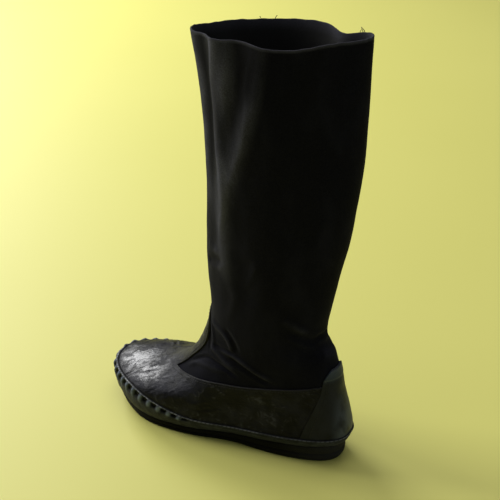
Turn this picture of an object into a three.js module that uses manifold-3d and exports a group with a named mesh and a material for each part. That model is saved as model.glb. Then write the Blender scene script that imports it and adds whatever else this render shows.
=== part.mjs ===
// A tall pull-on boot: a slack suede shaft over a leather foot that is gathered into a raised seam
// round the toe, on a low rubber wedge sole. It is the left boot of a pair.
// Millimetres. X runs from heel to toe, Y to the wearer's left (the outer side), Z up from the floor.
import * as THREE from 'three';
import { mergeVertices } from 'three/addons/utils/BufferGeometryUtils.js';
import Module from 'manifold-3d';

const wasm = await Module();
wasm.setup();

// Driving sizes of the sole
const FOOT_LENGTH = 265;
const HEEL_THICK = 17;
const FORE_THICK = 9;
const TOE_THINNING = 3;
const TOE_SPRING = 6;
const BALL_X = 185;
const HEEL_END_X = 68;
const TREAD_START_X = 148;
const WAIST_LIFT = 1.2;
const TOE_TURN = -6;

// Walls, and the clearance kept between sewn pieces
const GAP = 0.3;
const UPPER_WALL = 1.6;
const COVER_GAP = 0.4;
const LEATHER = 1.2;
const WRAP_LEATHER = 1.7;
const SEAM_HEIGHT = 3.1;
const INSOLE_THICK = 3;
const SOLE_MARGIN = GAP + WRAP_LEATHER;

// Shoulders of the toe, where the gathered seam climbs and draws in; the angle is from the toe's tip
const SHOULDER_ANGLE = 54;
const SHOULDER_SPREAD = 22;
const SHOULDER_PINCH = 0.3;
const INNER_SHOULDER = 0.6;

// Gathers of the wrap under the toe seam
const GATHERS = 25;
const GATHER_FROM = -82;
const GATHER_TO = 82;
const GATHER_WIDTH = 5;
const GATHER_DEPTH = 1;
const GATHER_DROP = 4.2;
const GATHER_LEVEL = 1.6;
const GATHER_CLEAR = 1.2;

// Facets round each loop
const AROUND = 48;

// Rows of numbers become records with the named columns.
function table(columns, rows) {
  const names = columns.split(' ');
  return rows.map((row) => Object.fromEntries(names.map((name, i) => [name, row[i]])));
}

// The boot's form, one closed loop a row. front and back place the loop's two ends seen from the side,
// outer and inner are the half widths of its two sides, sag raises the middle of both and lift the
// shoulders of the toe. foot is how far it follows the sole's outline, hug how far it rises with the sole,
// and round is 1 for an ellipse, less for a fuller loop and more for a pointed one.
const SECTIONS = table('frontX frontZ backX backZ sag lift outer inner foot hug round', [
  [259.5, 0.5, 9.2, 0.5, 0, 0, 40.5, 37, 1, 1, 0.8], // feather edge on the sole
  [263.5, 9, 3.6, 5.5, 0, 2.5, 44, 41.5, 1, 1, 0.8], // fullest part of the wrap
  [260.5, 23.5, 2.2, 10.5, -6, 8.5, 44.5, 42, 1, 1, 0.8], // gathered seam
  [238, 32.5, 1.8, 24, 0, 2, 41, 38.5, 1, 0.9, 0.82], // flat of the toe, bulge of the heel
  [205, 40, 5.5, 44, 1, 0, 37, 36, 0.85, 0.8, 0.86], // vamp
  [178, 54, 8.6, 61.5, 0, 0, 34.5, 34, 0.6, 0.6, 0.92], // instep
  [160.5, 75, 10.6, 82, 0, 0, 32.8, 32.6, 0.3, 0.3, 1], // throat
  [148, 100, 15.6, 105, 0, 0, 32.6, 32.6, 0, 0, 1], // ankle
  [139, 129, 25, 127, 0, 0, 33, 32.8, 0, 0, 1], // crease above the heel
  [140.5, 172.5, 15, 172, 0, 0, 33.5, 32.5, 0, 0, 1], // shin
  [137, 229, 1, 228.5, 0, 0, 35.5, 35.5, 0, 0, 1.02], // low calf
  [134.5, 289, -9, 289, 0, 0, 36.5, 36.5, 0, 0, 1.06], // calf
  [137, 343, -13.5, 346, 0, 0, 36, 36, 0, 0, 1.1], // slack top
  [143, 388, -16, 396, 0, 0, 35, 37, 0, 0, 1.14], // collar
]);
const COLLAR = SECTIONS.length - 1;

// Half widths of the sole's outline against a plain oval, at even steps from heel to toe
const OUTLINE = table('outer inner', [
  [0.9, 0.95],
  [0.86, 0.9],
  [0.86, 0.77],
  [1.12, 0.96],
  [1.34, 1.2],
  [1.1, 1.2],
]);

// Soft folds of the slack shaft, as ridges and hollows that run up it and lower its rim by drop. Angles are
// round the shaft from its front towards the outer side, and bow is how far a fold strays half way up.
const FOLDS = table('lowAngle highAngle bow width depth drop startZ', [
  [46, 44, 0, 10, -3, 0, 250], // hollow behind the front corner
  [60, 62, -4.5, 9, 3, 0, 150], // first ridge
  [66, 79, -5, 9, -2.5, 0, 250], // hollow between the ridges
  [60, 95, -6, 9, 3, 0, 235], // second ridge
  [118, 108, 0, 20, -2.5, 5.5, 180], // flat outer face
  [232, 230, 0, 17, -9, 4, 320], // dent in the far side of the collar
  [300, 300, 0, 14, -2, 0, 200], // hollow of the inner face
  [332, 332, 0, 15, -4, 0, 290], // far side of the front corner
]);
const FOLD_FADE = 60;
const FOLD_TURN = [200, 390];
const RIM_FADE = [320, 390];

// Loops that the wall and the leather on it share
const SEAM = 2;
const WRAP_LEVELS = [0, 0.4, 0.75, 1, 1.4, 1.75, 1.92];
const SEAM_LEVELS = [1.97, 2.12];
const COVER_LEVELS = [2.155, 2.5, 3, 3.4, 3.8, 4.3, 4.8, 5.3, 5.8, 6.3, 6.8, 7.3, 7.8, 8.3];
const SHAFT_LEVELS = [9, 9.7, 10.4, 11.2, 12, 12.5, COLLAR];
const UPPER_LEVELS = [...WRAP_LEVELS.slice(0, -1), SEAM + 0.05, ...COVER_LEVELS.slice(1), ...SHAFT_LEVELS];

// Side view of the counter's front edge and of the vamp's lap edge, and the half width of its tongue
const COUNTER_EDGE = table('x z', [[40, 18], [32, 42], [26, 58], [21, 75], [19, 88]]);
const COUNTER_TOP = table('x z', [[15, 97], [-20, 103]]);
const LAP_EDGE = table('x z', [[21, 82], [56, 75], [85, 70], [115, 67], [145, 62], [164, 58], [180.5, 55.5]]);
const TONGUE = table('half z', [
  [22, 46],
  [17.5, 55],
  [15.5, 62],
  [15.3, 72],
  [17, 83],
  [18.3, 94],
  [18, 103],
  [15.5, 114],
  [11, 124],
  [0, 133],
]);
const TONGUE_START_X = 110;
const CUT_REACH = 400;

// Loops of the sole's side from the floor up: how far each stands out from the wrap, and how high it
// lies in the sole's thickness. The pair in the middle is the moulded groove.
const SOLE_STEPS = table('grow rise', [
  [-3, 0],
  [-0.8, 0.1],
  [0, 0.4],
  [-0.8, 0.46],
  [-0.8, 0.54],
  [0, 0.6],
  [0, 1],
]);

const { lerp, degToRad, radToDeg, euclideanModulo, smoothstep } = THREE.MathUtils;

// Smooth curve through the rows of a table; place counts rows from 0.
function rowAt(rows, place) {
  const last = rows.length - 1;
  const index = Math.min(Math.floor(place), last - 1);
  const part = place - index;
  const result = {};
  for (const name of Object.keys(rows[0])) {
    const b = rows[index][name];
    const c = rows[index + 1][name];
    const a = index > 0 ? rows[index - 1][name] : 2 * b - c;
    const d = index + 2 <= last ? rows[index + 2][name] : 2 * c - b;
    const bend = 2 * a - 5 * b + 4 * c - d + part * (3 * (b - c) + d - a);
    result[name] = b + 0.5 * part * (c - a + part * bend);
  }
  return result;
}

// Underside of the sole: flat under heel and ball, lifted a little at the waist and sprung at the toe
function soleBottom(x) {
  const spring = Math.max(0, x - BALL_X) / (FOOT_LENGTH - BALL_X);
  const waist = Math.min(1, Math.max(0, (x - HEEL_END_X) / (TREAD_START_X - HEEL_END_X)));
  return TOE_SPRING * spring ** 2 + WAIST_LIFT * Math.sin(Math.PI * waist) ** 2;
}

function soleTop(x) {
  const spring = Math.max(0, x - BALL_X) / (FOOT_LENGTH - BALL_X);
  const wedge = lerp(HEEL_THICK, FORE_THICK, smoothstep(x, 20, 170));
  return wedge - TOE_THINNING * smoothstep(x, 200, 262) + TOE_SPRING * spring ** 2;
}

// How far the shaft's folds push a point outwards, and how far they lower it near the rim
function foldAt(angle, z) {
  const degrees = euclideanModulo(radToDeg(angle), 360);
  const turn = smoothstep(z, ...FOLD_TURN);
  let out = 0;
  let down = 0;
  for (const fold of FOLDS) {
    const middle = lerp(fold.lowAngle, fold.highAngle, turn) + 4 * fold.bow * turn * (1 - turn);
    const away = (degrees - middle) / fold.width;
    const share = Math.exp(-(away ** 2));
    out += fold.depth * share * smoothstep(z, fold.startZ, fold.startZ + FOLD_FADE);
    down += fold.drop * share * smoothstep(z, ...RIM_FADE);
  }
  return { out, down };
}

// A point of the upper's outer face; level counts the rows of SECTIONS, angle runs round from the toe.
function formPoint(level, angle) {
  const row = rowAt(SECTIONS, level);
  const along = (1 + Math.cos(angle)) / 2;
  const across = Math.sin(angle);
  const side = across < 0 ? 'inner' : 'outer';
  const outline = lerp(1, rowAt(OUTLINE, along * (OUTLINE.length - 1))[side], row.foot);
  const x = lerp(row.backX, row.frontX, along);
  const fromTip = radToDeg(Math.acos(Math.cos(angle)));
  const lift = side === 'inner' ? row.lift * INNER_SHOULDER : row.lift;
  const shoulder = lift * Math.exp(-(((fromTip - SHOULDER_ANGLE) / SHOULDER_SPREAD) ** 2));
  const half = row[side] * outline - SHOULDER_PINCH * shoulder;
  const turn = TOE_TURN * smoothstep(x, FOOT_LENGTH / 2, FOOT_LENGTH) * row.foot;
  const y = Math.sign(across) * half * Math.abs(across) ** row.round + turn;
  const bow = row.sag * across ** 2 + shoulder;
  const z = row.hug * soleTop(x) + lerp(row.backZ, row.frontZ, along) + bow;
  const length = (row.frontX - row.backX) / 2;
  const outward = new THREE.Vector2(Math.cos(angle) * half, across * length).normalize();
  const fold = foldAt(angle, z);
  return new THREE.Vector3(x + outward.x * fold.out, y + outward.y * fold.out, z - fold.down);
}

// Outward direction of the upper's face, level with the floor where it meets the sole
function formNormal(level, angle) {
  const step = 0.02;
  const above = formPoint(Math.min(level + step, COLLAR), angle);
  const up = above.sub(formPoint(Math.max(level - step, 0), angle));
  const round = formPoint(level, angle + step).sub(formPoint(level, angle - step));
  const normal = round.cross(up).normalize();
  normal.z *= smoothstep(level, 0, 1);
  return normal.normalize();
}

function offsetPoint(level, angle, offset) {
  return formPoint(level, angle).addScaledVector(formNormal(level, angle), offset);
}

const ANGLES = Array.from({ length: AROUND }, (_, i) => (2 * Math.PI * i) / AROUND);

// Indexed geometry from a list of closed loops, each joined to the next and the last joined to the first.
function ringGeometry(loops) {
  const index = [];
  loops.forEach((loop, row) => {
    const low = row * AROUND;
    const high = ((row + 1) % loops.length) * AROUND;
    for (let i = 0; i < AROUND; i += 1) {
      const next = (i + 1) % AROUND;
      index.push(low + i, low + next, high + next, low + i, high + next, high + i);
    }
  });
  return new THREE.BufferGeometry().setFromPoints(loops.flat()).setIndex(index);
}

// A solid stack of loops, closed below and above by strips that run across it.
function stackGeometry(loops) {
  const index = [];
  for (let row = 0; row + 1 < loops.length; row += 1) {
    const low = row * AROUND;
    const high = low + AROUND;
    for (let i = 0; i < AROUND; i += 1) {
      const next = (i + 1) % AROUND;
      index.push(low + i, low + next, high + next, low + i, high + next, high + i);
    }
  }
  const top = (loops.length - 1) * AROUND;
  for (let i = 0; i < AROUND / 2; i += 1) {
    const left = [i, i + 1];
    const right = [(AROUND - i) % AROUND, AROUND - i - 1];
    const strip = [[left[0], right[1], left[1]]];
    if (i > 0) strip.push([left[0], right[0], right[1]]);
    for (const [a, b, c] of strip) {
      if (b === c) continue;
      index.push(a, b, c, top + a, top + c, top + b);
    }
  }
  return new THREE.BufferGeometry().setFromPoints(loops.flat()).setIndex(index);
}

// A band of the form between two levels and two distances from the upper's face
function bandGeometry(levels, inside, outside) {
  const face = (offset) => levels.map((level) => ANGLES.map((angle) => offsetPoint(level, angle, offset)));
  return ringGeometry([...face(outside), ...face(inside).reverse()]);
}

function toSolid(geometry) {
  const bare = geometry.clone();
  bare.deleteAttribute('normal');
  bare.deleteAttribute('uv');
  const merged = mergeVertices(bare, 1e-4);
  const vertProperties = new Float32Array(merged.attributes.position.array);
  const triVerts = new Uint32Array(merged.index.array);
  return new wasm.Manifold(new wasm.Mesh({ numProp: 3, vertProperties, triVerts }));
}

function toGeometry(solid) {
  const { vertProperties, triVerts } = solid.getMesh();
  const geometry = new THREE.BufferGeometry();
  geometry.setAttribute('position', new THREE.BufferAttribute(vertProperties, 3));
  return geometry.setIndex(new THREE.BufferAttribute(triVerts, 1));
}

// A cutter with the given side view, as long as the boot is wide and more
function sideCutter(shape) {
  const options = { depth: CUT_REACH, bevelEnabled: false, curveSegments: 3 };
  const geometry = new THREE.ExtrudeGeometry(shape, options);
  geometry.translate(0, 0, -CUT_REACH / 2).rotateX(Math.PI / 2);
  return toSolid(geometry);
}

const toPoints = (rows, shift = 0) => rows.map(({ x, z }) => new THREE.Vector2(x + shift, z));

function makeUpper() {
  return bandGeometry(UPPER_LEVELS, -UPPER_WALL, 0);
}

// The vamp covers the foot in front of the counter, up to its lap edge, with a pointed tongue in front.
function makeVamp() {
  const rear = toPoints(COUNTER_EDGE, GAP);
  const lap = toPoints(LAP_EDGE);
  const side = new THREE.Shape();
  side.moveTo(rear[0].x, -CUT_REACH);
  rear.forEach((point) => point.y < lap[0].y && side.lineTo(point.x, point.y));
  side.lineTo(lap[0].x, lap[0].y);
  side.splineThru(lap.slice(1));
  side.lineTo(lap.at(-1).x, CUT_REACH);
  side.lineTo(CUT_REACH, CUT_REACH);
  side.lineTo(CUT_REACH, -CUT_REACH);
  side.closePath();
  const front = new THREE.Shape();
  const right = TONGUE.map(({ half, z }) => new THREE.Vector2(half, z));
  const left = right.slice(0, -1).reverse().map(({ x, y }) => new THREE.Vector2(-x, y));
  front.setFromPoints([...right, ...left]);
  const tongue = new THREE.ExtrudeGeometry(front, { depth: CUT_REACH, bevelEnabled: false });
  tongue.rotateX(Math.PI / 2).rotateZ(Math.PI / 2).translate(TONGUE_START_X, 0, 0);
  const cover = toSolid(bandGeometry(COVER_LEVELS, COVER_GAP, COVER_GAP + LEATHER));
  return toGeometry(cover.intersect(sideCutter(side).add(toSolid(tongue))));
}

// The counter wraps the back of the heel and narrows upwards.
function makeCounter() {
  const side = new THREE.Shape();
  side.moveTo(-CUT_REACH, -CUT_REACH);
  side.lineTo(COUNTER_EDGE[0].x, -CUT_REACH);
  toPoints([...COUNTER_EDGE, ...COUNTER_TOP]).forEach((point) => side.lineTo(point.x, point.y));
  side.lineTo(-CUT_REACH, COUNTER_TOP.at(-1).z);
  side.closePath();
  const cover = toSolid(bandGeometry(COVER_LEVELS, COVER_GAP, COVER_GAP + LEATHER));
  return toGeometry(cover.intersect(sideCutter(side)));
}

// The wrap rises from the sole to the seam; round the toe a row of gathers is pinched into its top.
function makeWrap() {
  const outside = GAP + WRAP_LEATHER;
  let wrap = toSolid(bandGeometry(WRAP_LEVELS, GAP, outside));
  const place = (level, share) => {
    const angle = degToRad(lerp(GATHER_FROM, GATHER_TO, share));
    return { point: offsetPoint(level, angle, outside), normal: formNormal(level, angle) };
  };
  const samples = Array.from({ length: 41 }, (_, i) => place(SEAM, i / 40).point);
  const seamLine = new THREE.CatmullRomCurve3(samples);
  for (let i = 0; i < GATHERS; i += 1) {
    const even = i / (GATHERS - 1);
    const share = seamLine.getUtoTmapping(even);
    const { point, normal } = place(GATHER_LEVEL, share);
    const tangent = seamLine.getTangentAt(even);
    const inward = normal.clone().negate();
    const along = new THREE.Vector3().crossVectors(tangent, inward);
    const height = GATHER_DEPTH + GATHER_CLEAR;
    const flare = height / GATHER_DEPTH;
    const pinch = new THREE.ConeGeometry(1, height, 4);
    pinch.scale((flare * GATHER_WIDTH) / 2, 1, flare * GATHER_DROP);
    point.addScaledVector(inward, GATHER_DEPTH - height / 2);
    pinch.applyMatrix4(new THREE.Matrix4().makeBasis(tangent, inward, along).setPosition(point));
    wrap = wrap.subtract(toSolid(pinch));
  }
  return toGeometry(wrap);
}

function makeSeam() {
  return bandGeometry(SEAM_LEVELS, GAP, SEAM_HEIGHT);
}

// Feather loop moved outwards by grow, laid at a share of the sole's thickness
function soleLoop(grow, height) {
  return ANGLES.map((angle) => {
    const point = offsetPoint(0, angle, grow);
    return point.setZ(height(point.x));
  });
}

function makeOutsole() {
  const loops = SOLE_STEPS.map(({ grow, rise }) =>
    soleLoop(SOLE_MARGIN + grow, (x) => lerp(soleBottom(x), soleTop(x), rise)));
  return stackGeometry(loops);
}

function makeInsole() {
  const inset = -UPPER_WALL - GAP;
  const loops = [GAP, GAP + INSOLE_THICK].map((lift) => soleLoop(inset, (x) => soleTop(x) + lift));
  return stackGeometry(loops);
}

const PIECES = [
  { name: 'upper', make: makeUpper, color: '#1b1b1c', roughness: 0.92 },
  { name: 'vamp', make: makeVamp, color: '#23241f', roughness: 0.35 },
  { name: 'counter', make: makeCounter, color: '#2a2d33', roughness: 0.42 },
  { name: 'wrap', make: makeWrap, color: '#1d2023', roughness: 0.55 },
  { name: 'seam', make: makeSeam, color: '#5a5c60', roughness: 0.6 },
  { name: 'outsole', make: makeOutsole, color: '#131313', roughness: 0.8 },
  { name: 'insole', make: makeInsole, color: '#3a352e', roughness: 0.9 },
];

const boot = new THREE.Group();
for (const { name, make, color, roughness } of PIECES) {
  const material = new THREE.MeshStandardMaterial({ color, roughness, metalness: 0 });
  const mesh = new THREE.Mesh(make(), material);
  mesh.name = name;
  boot.add(mesh);
}

// The origin lies on the floor, under the middle of the boot's box.
const box = new THREE.Box3().setFromObject(boot);
const middle = box.getCenter(new THREE.Vector3());
boot.position.set(-middle.x, -middle.y, -box.min.z);

export default boot;
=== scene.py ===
# %% [markdown]
# # A tall slack boot
# The boot is a pull-on. A soft suede shaft stands on a glossy leather foot, the foot is gathered into a
# raised seam round the toe, a leather counter holds the heel, and a low rubber wedge carries it all.
# The packed solids are loaded first. They fix where everything is, so each dressed piece is worked out
# from the same sizes and laid over its solid, with no fitting by eye.

# %% Load the frame
import math

import bpy
import numpy as np
from mathutils import Matrix, Vector, noise


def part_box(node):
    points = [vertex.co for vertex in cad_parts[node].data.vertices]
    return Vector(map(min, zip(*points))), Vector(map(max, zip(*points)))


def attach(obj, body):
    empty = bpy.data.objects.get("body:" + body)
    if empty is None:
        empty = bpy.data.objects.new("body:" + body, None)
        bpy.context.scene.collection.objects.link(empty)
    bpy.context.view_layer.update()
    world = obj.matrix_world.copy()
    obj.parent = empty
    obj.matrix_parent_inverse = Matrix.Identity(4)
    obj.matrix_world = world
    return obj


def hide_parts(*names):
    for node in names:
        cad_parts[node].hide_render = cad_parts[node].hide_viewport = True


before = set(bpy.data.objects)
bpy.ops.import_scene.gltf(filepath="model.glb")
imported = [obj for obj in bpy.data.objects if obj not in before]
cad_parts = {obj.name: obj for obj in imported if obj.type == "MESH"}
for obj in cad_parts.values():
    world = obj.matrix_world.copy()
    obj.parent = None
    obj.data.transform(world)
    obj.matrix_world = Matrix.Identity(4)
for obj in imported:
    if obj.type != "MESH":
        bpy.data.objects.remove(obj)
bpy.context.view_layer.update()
print("solids:", sorted(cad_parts))

# %% [markdown]
# ## The last
# A shoemaker shapes a boot over a last. Here the last is a stack of closed loops, one a row: where the
# loop's front and back lie, how wide it is on each side, how far it climbs at the toe's shoulders and how
# far it follows the sole. A smooth curve through the rows gives every loop between them. Sculpting by hand
# could give the same form, but a table keeps each width and height a number that can be read and changed.
# All of it is in millimetres.

# %% Sizes and loops of the last
FOOT_LENGTH = 265
HEEL_THICK, FORE_THICK, TOE_THINNING = 17, 9, 3
TOE_SPRING, BALL_X = 6, 185
WEDGE_RANGE, TOE_RANGE = (20, 170), (200, 262)
HEEL_END_X, TREAD_START_X, WAIST_LIFT = 68, 148, 1.2
TOE_TURN = -6
GAP, UPPER_WALL, LEATHER, WRAP_LEATHER = 0.3, 1.6, 1.2, 1.7
COVER_GAP = 0.4
SHOULDER_ANGLE, SHOULDER_SPREAD, SHOULDER_PINCH, INNER_SHOULDER = 54, 22, 0.3, 0.6

SECTION_COLUMNS = "front_x front_z back_x back_z sag lift outer inner foot hug round".split()
SECTIONS = np.array([
    [259.5, 0.5, 9.2, 0.5, 0, 0, 40.5, 37, 1, 1, 0.8],  # feather edge on the sole
    [263.5, 9, 3.6, 5.5, 0, 2.5, 44, 41.5, 1, 1, 0.8],  # fullest part of the wrap
    [260.5, 23.5, 2.2, 10.5, -6, 8.5, 44.5, 42, 1, 1, 0.8],  # gathered seam
    [238, 32.5, 1.8, 24, 0, 2, 41, 38.5, 1, 0.9, 0.82],  # flat of the toe, bulge of the heel
    [205, 40, 5.5, 44, 1, 0, 37, 36, 0.85, 0.8, 0.86],  # vamp
    [178, 54, 8.6, 61.5, 0, 0, 34.5, 34, 0.6, 0.6, 0.92],  # instep
    [160.5, 75, 10.6, 82, 0, 0, 32.8, 32.6, 0.3, 0.3, 1],  # throat
    [148, 100, 15.6, 105, 0, 0, 32.6, 32.6, 0, 0, 1],  # ankle
    [139, 129, 25, 127, 0, 0, 33, 32.8, 0, 0, 1],  # crease above the heel
    [140.5, 172.5, 15, 172, 0, 0, 33.5, 32.5, 0, 0, 1],  # shin
    [137, 229, 1, 228.5, 0, 0, 35.5, 35.5, 0, 0, 1.02],  # low calf
    [134.5, 289, -9, 289, 0, 0, 36.5, 36.5, 0, 0, 1.06],  # calf
    [137, 343, -13.5, 346, 0, 0, 36, 36, 0, 0, 1.1],  # slack top
    [143, 388, -16, 396, 0, 0, 35, 37, 0, 0, 1.14],  # collar
])
COLLAR = len(SECTIONS) - 1
# Half widths of the sole's outline against a plain oval, outer and inner, at even steps from heel to toe
OUTLINE = np.array([[0.9, 0.95], [0.86, 0.9], [0.86, 0.77], [1.12, 0.96], [1.34, 1.2], [1.1, 1.2]])
print("loops:", len(SECTIONS), "from", SECTIONS[0, 1], "to", SECTIONS[-1, 3], "mm")

# %% [markdown]
# ## Folds of the shaft
# Nothing holds the empty shaft open, so it stands in long soft folds. Each row is a ridge or a hollow that
# runs up the shaft at an angle from the front, leans and bows a little on the way and fades in from a height.
# These are the folds that the solids have too.

# %% Long folds
FOLDS = [  # low angle, high angle, bow half way, width, depth, drop of the rim, start height
    (46, 44, 0, 10, -3, 0, 250),  # hollow behind the front corner
    (60, 62, -4.5, 9, 3, 0, 150),  # first ridge
    (66, 79, -5, 9, -2.5, 0, 250),  # hollow between the ridges
    (60, 95, -6, 9, 3, 0, 235),  # second ridge
    (118, 108, 0, 20, -2.5, 5.5, 180),  # flat outer face
    (232, 230, 0, 17, -9, 4, 320),  # dent in the far side of the collar
    (300, 300, 0, 14, -2, 0, 200),  # hollow of the inner face
    (332, 332, 0, 15, -4, 0, 290),  # far side of the front corner
]
FOLD_FADE = 60
FOLD_TURN = (200, 390)
RIM_FADE = (320, 390)


def lerp(a, b, share):
    return a + (b - a) * share


def smoothstep(value, low, high):
    share = np.clip((value - low) / (high - low), 0, 1)
    return share * share * (3 - 2 * share)


def fold_at(angle, z):
    """How far the long folds push a point outwards, and how far they lower it near the rim."""
    degrees = np.degrees(angle) % 360
    turn = smoothstep(z, *FOLD_TURN)
    out, down = np.zeros_like(z), np.zeros_like(z)
    for low, high, bow, width, depth, drop, start in FOLDS:
        middle = lerp(low, high, turn) + 4 * bow * turn * (1 - turn)
        share = np.exp(-((degrees - middle) / width) ** 2)
        out += depth * share * smoothstep(z, start, start + FOLD_FADE)
        down += drop * share * smoothstep(z, *RIM_FADE)
    return out, down


print("long folds:", len(FOLDS))

# %% [markdown]
# ## From table to surface
# The loops between two rows come from a smooth curve through the rows, and the sole is a wedge whose two
# faces are heights that change with the distance from the heel: thick at the heel, thin under the ball, a
# little hollow at the waist, with a toe that springs off the floor.

# %% Curves, and the faces of the sole
def row_at(rows, place):
    """Smooth curve through the rows of a table; place counts rows from 0."""
    ends = np.vstack([2 * rows[0] - rows[1], rows, 2 * rows[-1] - rows[-2]])
    index = np.clip(np.floor(place).astype(int), 0, len(rows) - 2)
    part = (place - index)[..., None]
    a, b, c, d = (ends[index + step] for step in range(4))
    bend = 2 * a - 5 * b + 4 * c - d + part * (3 * (b - c) + d - a)
    return b + 0.5 * part * (c - a + part * bend)


def toe_spring(x):
    return TOE_SPRING * (np.maximum(0, x - BALL_X) / (FOOT_LENGTH - BALL_X)) ** 2


def sole_bottom(x):
    waist = np.clip((x - HEEL_END_X) / (TREAD_START_X - HEEL_END_X), 0, 1)
    return toe_spring(x) + WAIST_LIFT * np.sin(np.pi * waist) ** 2


def sole_top(x):
    wedge = lerp(HEEL_THICK, FORE_THICK, smoothstep(x, *WEDGE_RANGE))
    return wedge - TOE_THINNING * smoothstep(x, *TOE_RANGE) + toe_spring(x)


thickness = sole_top(np.array([0, BALL_X])) - sole_bottom(np.array([0, BALL_X]))
print("sole's thickness at heel and ball in mm:", thickness.round(1).tolist())

# %% [markdown]
# `form_point` turns a level (which loop) and an angle (how far round from the toe) into a point, for whole
# arrays at once. `form_normal` is the direction straight out of the surface there, so that a piece of
# leather can be laid on at its own thickness.

# %% The surface of the last
def form_point(level, angle):
    level, angle = np.broadcast_arrays(np.asarray(level, float), np.asarray(angle, float))
    row = dict(zip(SECTION_COLUMNS, np.moveaxis(row_at(SECTIONS, level), -1, 0)))
    along, across = (1 + np.cos(angle)) / 2, np.sin(angle)
    outer_side = across >= 0
    widths = row_at(OUTLINE, along * (len(OUTLINE) - 1))
    outline = lerp(1, np.where(outer_side, widths[..., 0], widths[..., 1]), row["foot"])
    from_tip = np.degrees(np.arccos(np.cos(angle)))
    lift = row["lift"] * np.where(outer_side, 1, INNER_SHOULDER)
    shoulder = lift * np.exp(-((from_tip - SHOULDER_ANGLE) / SHOULDER_SPREAD) ** 2)
    half = np.where(outer_side, row["outer"], row["inner"]) * outline - SHOULDER_PINCH * shoulder
    x = lerp(row["back_x"], row["front_x"], along)
    turn = TOE_TURN * smoothstep(x, FOOT_LENGTH / 2, FOOT_LENGTH) * row["foot"]
    y = np.sign(across) * half * np.abs(across) ** row["round"] + turn
    bow = row["sag"] * across ** 2 + shoulder
    z = row["hug"] * sole_top(x) + lerp(row["back_z"], row["front_z"], along) + bow
    out_x, out_y = np.cos(angle) * half, across * (row["front_x"] - row["back_x"]) / 2
    out, down = fold_at(angle, z)
    reach = out / np.hypot(out_x, out_y)
    return np.stack([x + out_x * reach, y + out_y * reach, z - down], -1)


def unit(vectors):
    return vectors / np.linalg.norm(vectors, axis=-1, keepdims=True)


def form_normal(level, angle, step=0.02):
    level, angle = np.broadcast_arrays(np.asarray(level, float), np.asarray(angle, float))
    up = form_point(np.minimum(level + step, COLLAR), angle) - form_point(np.maximum(level - step, 0), angle)
    normal = unit(np.cross(form_point(level, angle + step) - form_point(level, angle - step), up))
    normal[..., 2] *= smoothstep(level, 0, 1)
    return unit(normal)


print("collar's front and back:", form_point(COLLAR, np.array([0, np.pi])).round(1).tolist())

# %% [markdown]
# ## Into the row frame
# The solids' own box says where the last stands in the frame. The sole's edge is worked out at the same
# facets that its solid has, and the difference is the shift.

# %% Shift from the last to the frame
MM = 0.001
SOLID_FACETS = 48
SOLE_MARGIN = GAP + WRAP_LEATHER

facets = np.linspace(0, 2 * np.pi, SOLID_FACETS, endpoint=False)
sole_edge = form_point(0, facets) + SOLE_MARGIN * form_normal(0, facets)
sole_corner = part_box("outsole")[0]
SHIFT = np.array([sole_corner.x / MM - sole_edge[:, 0].min(), sole_corner.y / MM - sole_edge[:, 1].min(), 0])
print("shift in mm:", SHIFT.round(2).tolist())

# %% [markdown]
# ## Creases placed one by one
# Where the ankle and the toes bend, suede and leather crease. Each crease is a line on the boot in the
# boot's own millimetres, with a half width and a depth: below zero is a trough, above zero a ridge. A
# trough also lifts a low lip on both its sides, as pushed leather does. A brush in sculpt mode could draw
# them, but lines with sizes stay in place when the mesh gets finer.

# %% How a crease moves the surface
CREASE_STEPS = 24
CREASE_REACH = 4
CREASE_ENDS = (0.2, 0.75)
LIP_PLACE, LIP_WIDTH, LIP_SHARE = 1.8, 0.8, 0.3


def crease_line(points):
    points = np.array(points, float)
    return row_at(points, np.linspace(0, len(points) - 1, CREASE_STEPS))


def distance_to_line(points, line):
    """Distance of each point from a chain of segments, and how far along the chain its nearest place is."""
    best, along = np.full(len(points), np.inf), np.zeros(len(points))
    for step, (start, end) in enumerate(zip(line[:-1], line[1:])):
        edge = end - start
        share = np.clip((points - start) @ edge / (edge @ edge), 0, 1)
        away = np.linalg.norm(points - start - share[:, None] * edge, axis=1)
        nearer = away < best
        best = np.where(nearer, away, best)
        along = np.where(nearer, (step + share) / (len(line) - 1), along)
    return best, along


def crease_push(points, creases):
    """Sum of all creases at each point, outwards, in mm."""
    flat = points.reshape(-1, 3)
    push = np.zeros(len(flat))
    for width, depth, line in creases:
        line = crease_line(line)
        reach = CREASE_REACH * width
        near = np.all((flat > line.min(0) - reach) & (flat < line.max(0) + reach), axis=1)
        if not near.any():
            continue
        away, along = distance_to_line(flat[near], line)
        share = away / width
        shape = np.exp(-share ** 2)
        if depth < 0:
            shape -= LIP_SHARE * np.exp(-((share - LIP_PLACE) / LIP_WIDTH) ** 2)
        taper = smoothstep(along, 0, CREASE_ENDS[0]) * (1 - smoothstep(along, CREASE_ENDS[1], 1))
        push[near] += depth * shape * taper
    return push.reshape(points.shape[:-1])


trough = crease_push(np.array([[0.0, 0, 0], [0, 3.6, 0]]), [(2, -1, [(-9, 0, 0), (0, 0, 0), (9, 0, 0)])])
print("a trough 1 mm deep, at its middle and at its lip:", trough.round(2).tolist())

# %% [markdown]
# The suede creases most at the ankle: two long folds run from the front of the ankle down towards the heel,
# a third comes down the front, a sharp one lies across the back above the counter, and the shin has a
# shallow bulge. Finer lines sharpen the crests of the shaft's long folds. The ankle's creases are repeated
# on the inner side, softer and lower.

# %% Creases of the suede
INNER_WIDER, INNER_SHALLOWER, INNER_LOWER = 1.3, 0.6, 5


def other_side(creases):
    """The same creases on the inner side, softer and a little lower."""
    return [(INNER_WIDER * width, INNER_SHALLOWER * depth, [(x, -y, z - INNER_LOWER) for x, y, z in line])
            for width, depth, line in creases]


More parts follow.
